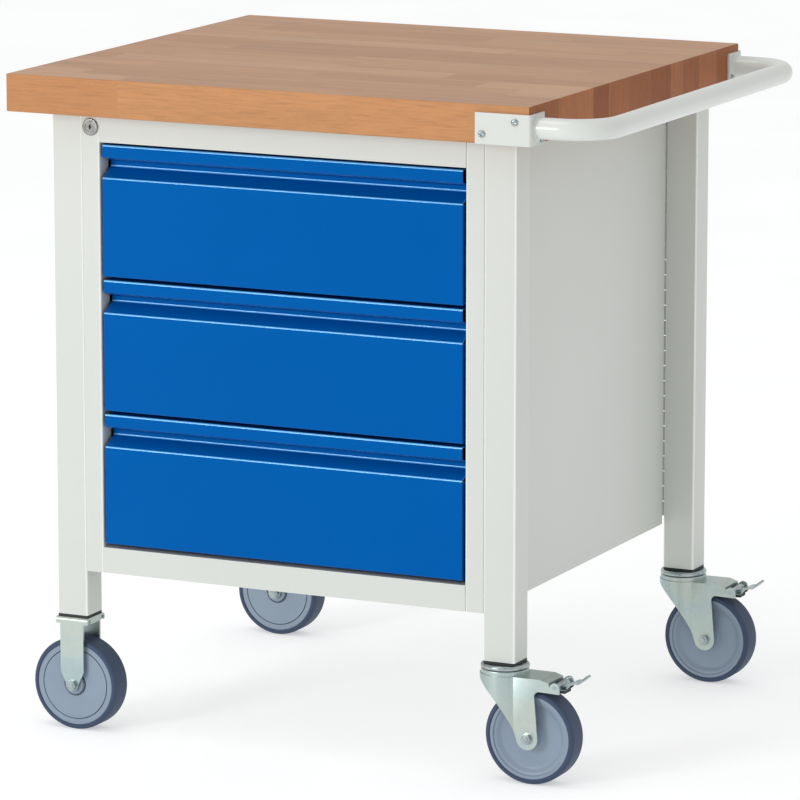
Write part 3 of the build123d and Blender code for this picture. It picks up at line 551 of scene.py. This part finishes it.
board_low, board_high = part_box("worktop")
board_mid = (board_low + board_high) / 2
face_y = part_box("handle_bracket_rear")[1].y
plate_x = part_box("handle_bracket_front")[1].x
FACE_HOLES = ((310.8 * MM, 852.9 * MM), (355.9 * MM, 869.9 * MM))       # out from the middle, up
END_HOLE_Y, END_HOLE_Z = 319.0 * MM, 846.0 * MM
spots = []
for side in (-1, 1):
    for dx, z in FACE_HOLES:
        spots.append(((board_mid.x + dx, side * face_y, z), (0, side, 0)))
    spots.append(((plate_x, side * END_HOLE_Y, END_HOLE_Z), (1, 0, 0)))
screws = scattered("pan_head_screws", scatter_tree("screws_at_holes", head, bright_zinc), spots)
bpy.data.objects.remove(head)
fit(screws, bright_zinc, "bench", "zinc", "handle_screws")


# ---- Joining tabs and spot welds ----
# The cabinet stands a slit short of the rear legs. Short coated tabs on the legs' inner faces
# close it from behind with hairline gaps between them, and spot welds hold the back sheet.

cabinet_low, cabinet_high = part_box("side_panel_right")
SIDE_X, FOLD_Y = cabinet_high.x - board_mid.x, cabinet_high.y
TAB_X, TAB_Y, TAB_Z, TAB_BACK = 9.0 * MM, 1.5 * MM, 20.0 * MM, 8.0 * MM
CLOSE_PITCH, OPEN_PITCH, CLOSE_ABOVE = 20.3 * MM, 21.2 * MM, 600.0 * MM
bm = bmesh.new()
bmesh.ops.create_cube(bm, size=1.0, matrix=Matrix.Diagonal((TAB_X, TAB_Y, TAB_Z, 1.0)))
tab = finish_mesh(bm, "joining_tab", bevel=0.3 * MM)
spots, z = [], cabinet_low.z + TAB_Z
while z < cabinet_high.z - TAB_Z / 2:
    for side in (-1, 1):
        tab_x = board_mid.x + side * (SIDE_X - TAB_X / 2)
        spots.append(((tab_x, FOLD_Y + TAB_BACK, z), (0, 0, 1)))
    z += CLOSE_PITCH if z > CLOSE_ABOVE else OPEN_PITCH
tabs = scattered("joining_tabs", scatter_tree("tabs_along_legs", tab, grey_coat), spots)
bpy.data.objects.remove(tab)
fit(tabs, grey_coat, "bench", "grey_coat")

SPOT_R, SPOT_RISE, SPOT_DIP, SPOT_COUNT = 2.8 * MM, 0.3 * MM, 0.1 * MM, 11
SPOT_IN = 9.0 * MM                                 # from the side sheet's outside to the spots
spot_profile = [(-SPOT_RISE, 0.0), (-SPOT_RISE, SPOT_R), (0.0, SPOT_R), (SPOT_RISE, 0.8 * SPOT_R),
                (SPOT_RISE, 0.6 * SPOT_R), (SPOT_DIP, 0.4 * SPOT_R), (SPOT_DIP, 0.0)]
spot = lathe("spot_weld", spot_profile, (0, 0, 0), (0, 0, 1), 20)
fold_mid = SIDE_X - SPOT_IN
spot_pitch = (cabinet_high.z - cabinet_low.z) / SPOT_COUNT
spot_heights = [cabinet_low.z + spot_pitch * (i + 0.5) for i in range(SPOT_COUNT)]
spots = [((board_mid.x + side * fold_mid, FOLD_Y, z), (0, 1, 0))
         for side in (-1, 1) for z in spot_heights]
spot_welds = scattered("spot_welds", scatter_tree("spots_on_folds", spot, grey_coat), spots)
bpy.data.objects.remove(spot)
fit(spot_welds, grey_coat, "bench", "grey_coat")


# ---- Lock ----
# Nickel-plated brass cam lock: a turned collar in the left stile and a plug with a keyhole.
# Behind it sit a zinc-plated cam and the flat bar that it lifts.

# Turned brass, nickel plated: neutral grey, close gloss, fine grain.
nickel = zinc_plate("nickel_plate_turned", ("848381", "8F8E8B", "8A8A88"), 0.24, 90.0)
fit(refined("lock_housing", 0.25 * MM, 2), nickel, "bench", "nickel", "lock_housing")
fit(refined("lock_cylinder", 0.15 * MM, 2), nickel, "lock_plug", "nickel", "lock_cylinder")
fit(refined("lock_cam", 0.2 * MM, 1), zinc, "lock_plug", "zinc", "lock_cam")
fit(refined("lock_bar", 0.2 * MM, 1), zinc, "lock_lifter", "zinc", "lock_bar")


# ---- Drawers ----
# Each front is one sheet folded into a lip, a finger channel and a flat face, powder coated
# gentian blue with a satin gloss. Grey trays hang between ball-bearing runners of zinc plate.

# Gentian blue polyester powder, satin. The gloss carries a little of the paint's own blue, so faces
# stay deep and bends shine light blue, partly from the real gloss and partly from a painted
# highlight tone on them.
blue_coat = powder_coat(
    "powder_coat_gentian_blue", ("005098", "00539D"), 0.24, 460.0, 0.55, "1290F0")
# Painted highlight: a light blue, glossier copy of the coat for the bends and edges.
blue_painted_highlight = powder_coat(
    "powder_coat_gentian_blue_painted_highlight", ("63B0EE", "6EB8F4"), 0.15, 460.0, 1.0, "B8E4FF")
# Flat-headed rivets through each tray wall hold the inner runner.
TRAY_SHEET, RIVET_R, RIVET_T = 1.2 * MM, 4.0 * MM, 1.6 * MM
RIVET_SHARES = (0.06, 0.35, 0.65, 0.94)            # places along the inner runner
slopes = [math.radians(i * 15) for i in range(1, 6)]
rivet_profile = [(0.0, 0.0), (0.0, RIVET_R)]
rivet_profile += [(RIVET_T * math.sin(a), RIVET_R * math.cos(a) ** 0.5) for a in slopes]
rivet_profile += [(RIVET_T, 0.0)]
rivet = lathe("runner_rivet", rivet_profile, (0, 0, 0), (0, 0, 1), 24)
rivet_tree = scatter_tree("rivets_on_trays", rivet, zinc)
for number in (1, 2, 3):
    drawer, riders = f"drawer_{number}", f"middle_runners_{number}"
    node = f"drawer_front_{number}"
    # The painted highlight goes only on bends and edges that face upwards, towards the lights.
    front = coated(refined(node, 0.3 * MM, 2), blue_coat, blue_painted_highlight, lowest=0.1)
    fit(front, blue_coat, drawer, "blue_coat", node)
    node = f"drawer_tray_{number}"
    # The trays get the same painted highlight on their bends and edges.
    tray = coated(refined(node, 0.3 * MM, 1), grey_coat, grey_painted_highlight)
    fit(tray, grey_coat, drawer, "grey_coat", node)
    tray_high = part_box(node)[1]
    rail_low, rail_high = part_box(f"runner_inner_{number}")
    rivet_z, wall = (rail_low.z + rail_high.z) / 2, tray_high.x - board_mid.x - TRAY_SHEET
    rivet_ys = [rail_low.y + (rail_high.y - rail_low.y) * share for share in RIVET_SHARES]
    spots = [((board_mid.x + side * wall, y, rivet_z), (-side, 0, 0))
             for side in (-1, 1) for y in rivet_ys]
    fit(scattered(f"runner_rivets_{number}", rivet_tree, spots), zinc, drawer, "zinc")
    for node, body in ((f"runner_inner_{number}", drawer), (f"runner_middle_{number}", riders),
                       (f"runner_outer_{number}", "bench")):
        fit(refined(node, 0.25 * MM, 1), zinc, body, "zinc", node)
bpy.data.objects.remove(rivet)


# ---- Castor wheels ----
# Injection-moulded polypropylene bodies with a non-marking rubber tyre moulded on; the fixed
# wheels carry flat thread guards, the swivel wheels show their dished sides.

# Moulded polypropylene: blue-grey, half matt, fine spark grain.
wheel_plastic = moulded("polypropylene_blue_grey", ("7E8D9E", "8594A4"), 0.4, 700.0, 0.00008)
# Thermoplastic rubber: darker blue-grey, matt, with little gloss.
tyre_rubber = moulded("rubber_blue_grey", ("33425A", "3A4860"), 0.58, 800.0, 0.0001, 0.35)
WHEEL_R, RIM_R = 62.5 * MM, 56.0 * MM
TYRE_HALF, CORE_HALF = 18.0 * MM, 16.5 * MM        # half widths


def arc(centre, radius, start, stop, steps=8):
    """Points on an arc, angles in degrees."""
    angles = [math.radians(start + (stop - start) * i / steps) for i in range(steps + 1)]
    along, out = centre
    return [(along + radius * math.cos(a), out + radius * math.sin(a)) for a in angles]


def mirrored(half):
    """Close a half profile by its mirror image across the wheel's middle."""
    return half + [(-a, r) for a, r in reversed(half)]


def in_mm(*points):
    """Profile points given in millimetres."""
    return [(along * MM, out * MM) for along, out in points]


# Half profiles, along the axle from the wheel's middle and out from its centre. The tyre is a
# band with round shoulders; a body runs from its hub over the web to the step at the rim.
SHOULDER, WHEEL_STEPS = 5.0 * MM, 128
tyre_half = [(CORE_HALF - 0.3 * MM, RIM_R), (TYRE_HALF - 0.6 * MM, RIM_R),
             (TYRE_HALF, RIM_R + 0.8 * MM)]
tyre_half += arc((TYRE_HALF - SHOULDER, WHEEL_R - SHOULDER), SHOULDER, 0, 90)
hub_end = in_mm((20.0, 6.1), (20.0, 12.6), (19.0, 13.5))
rim_edge = in_mm((16.5, 55.4), (16.0, 56.0))
dished = hub_end + in_mm(
    (10.5, 14.6), (9.5, 16.5), (9.6, 41.0), (10.3, 43.4), (13.2, 46.6),
    (14.2, 48.6), (14.5, 51.0), (16.1, 51.4), (16.5, 51.9)) + rim_edge
plain = hub_end + in_mm((12.5, 14.0), (12.5, 47.6), (16.1, 48.4), (16.5, 48.9)) + rim_edge
guard = in_mm((14.9, 16.0), (14.9, 47.3), (16.0, 47.3), (16.5, 46.8), (16.5, 16.6), (16.0, 16.0))
for place in PLACES:
    low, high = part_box("tyre_" + place)
    middle = (low + high) / 2
    wheel = "wheel_" + place
    tyre = lathe("tyre_moulded_" + place, mirrored(tyre_half), middle, (0, 1, 0), WHEEL_STEPS)
    fit(tyre, tyre_rubber, wheel, "tyre", "tyre_" + place)
    swivels = place.endswith("right")
    half = dished if swivels else plain
    core = lathe("wheel_body_" + place, mirrored(half), middle, (0, 1, 0), WHEEL_STEPS)
    fit(core, wheel_plastic, wheel, "wheel_plastic", "wheel_core_" + place)
    if not swivels:
        # One covers node stands for both discs; the near disc replaces it.
        for side, end, covers in ((-1, "near", ["wheel_covers_" + place]), (1, "far", [])):
            disc = lathe(f"thread_guard_{place}_{end}", guard, middle, (0, side, 0), WHEEL_STEPS)
            fit(disc, wheel_plastic, wheel, "wheel_plastic", *covers)


# ---- Castor forks and axles ----
# Forks pressed from 3 mm sheet, zinc plated; a bolt with hexagon ends holds each wheel. The
# swivel forks turn under a riveted ball head and carry a hinged foot brake.

SHOE_T = 4.0 * MM
# Brake shoe rubber: near black, dull.
shoe_rubber = moulded("rubber_black_brake_shoe", ("17181B", "202125"), 0.65, 900.0, 0.0001)
for place in PLACES:
    swivels = place.endswith("right")
    body = "swivel_" + place if swivels else "bench"
    fit(refined("fork_" + place, 0.6 * MM, 2), zinc, body, "zinc", "fork_" + place)
    fit(refined("axle_" + place, 0.4 * MM, 2), bright_zinc, body, "zinc", "axle_" + place)
    if swivels:
        head = refined("swivel_head_" + place, 0.5 * MM, 2)
        fit(head, bright_zinc, "bench", "zinc", "swivel_head_" + place)
        pedal = refined("brake_pedal_" + place, 0.5 * MM, 2)
        pedal.data.materials.append(bright_zinc)
        pedal.data.materials.append(shoe_rubber)
        shoe_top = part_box("brake_pedal_" + place)[0].z + SHOE_T
        for face in pedal.data.polygons:
            face.material_index = int(face.center.z < shoe_top)
        fit(pedal, bright_zinc, "pedal_" + place, "zinc", "brake_pedal_" + place)


# ---- Studio ----
# A pale seamless floor, a large soft light in front and to the left, a weaker one overhead,
# and an even pale surround.

floor_mesh = bpy.data.meshes.new("studio_floor")
REACH = 30.0
floor_corners = [(x * REACH, y * REACH, 0) for x, y in ((-1, -1), (1, -1), (1, 1), (-1, 1))]
floor_mesh.from_pydata(floor_corners, [], [(0, 1, 2, 3)])
floor = bpy.data.objects.new("studio_floor", floor_mesh)
bpy.context.collection.objects.link(floor)
# Matt white paper that glows a little, so shadows on it stay faint.
floor_paint, tree, shader, coords = blank("studio_floor_paper", 0.9)
mottle = put(tree, "ShaderNodeTexNoise", [("Vector", coords), ("Scale", 3.0), ("Detail", 2.0)])
paper = put(tree, "ShaderNodeValToRGB", [("Fac", mottle.outputs["Fac"])],
            [(0.3, "CCCDCE"), (0.7, "D0D1D2")])
tree.links.new(paper.outputs["Color"], shader.inputs["Base Color"])
shader.inputs["Emission Color"].default_value = srgb("FFFFFF")
shader.inputs["Emission Strength"].default_value = 0.45
floor_mesh.materials.append(floor_paint)
floor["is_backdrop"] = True

scene = bpy.context.scene
world = bpy.data.worlds.new("studio")
scene.world = world
world.use_nodes = True
world.node_tree.nodes["Background"].inputs["Color"].default_value = (1.0, 1.0, 1.0, 1.0)
world.node_tree.nodes["Background"].inputs["Strength"].default_value = 0.8
scene.view_settings.view_transform = "Standard"


def softbox(name, place, aim, size, power):
    """Square soft light at a place, turned to an aim point."""
    light = bpy.data.lights.new(name, "AREA")
    light.size = size
    light.energy = power
    lamp = bpy.data.objects.new(name, light)
    lamp.location = place
    lamp.rotation_euler = (Vector(aim) - Vector(place)).to_track_quat("-Z", "Y").to_euler()
    bpy.context.collection.objects.link(lamp)


softbox("key", (-2.0, -4.3, 1.6), (0, 0, 0.45), 1.3, 72.0)
softbox("top", (-0.9, -0.9, 4.0), (0, 0, 0.6), 1.6, 16.0)

# The camera looks from the front, turned to the right and a little above the middle.
AZIMUTH, ELEVATION, DISTANCE, LENS = math.radians(25.39), math.radians(11.03), 7.3189, 243.6
AIM_Z, SHIFT_RIGHT, SHIFT_DOWN = 0.440, 0.0267, 0.0153
level = math.cos(ELEVATION)
back = Vector((math.sin(AZIMUTH) * level, -math.cos(AZIMUTH) * level, math.sin(ELEVATION)))
right = Vector((math.cos(AZIMUTH), math.sin(AZIMUTH), 0.0))
up = back.cross(right)
aim = Vector((board_mid.x, 0.0, AIM_Z)) + right * SHIFT_RIGHT - up * SHIFT_DOWN
lens = bpy.data.cameras.new("camera")
lens.lens = LENS
lens.sensor_width = 36.0
lens.clip_end = 100.0
camera = bpy.data.objects.new("camera", lens)
camera.location = aim + back * DISTANCE
camera.rotation_euler = (-back).to_track_quat("-Z", "Y").to_euler()
bpy.context.collection.objects.link(camera)
scene.camera = camera

low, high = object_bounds()
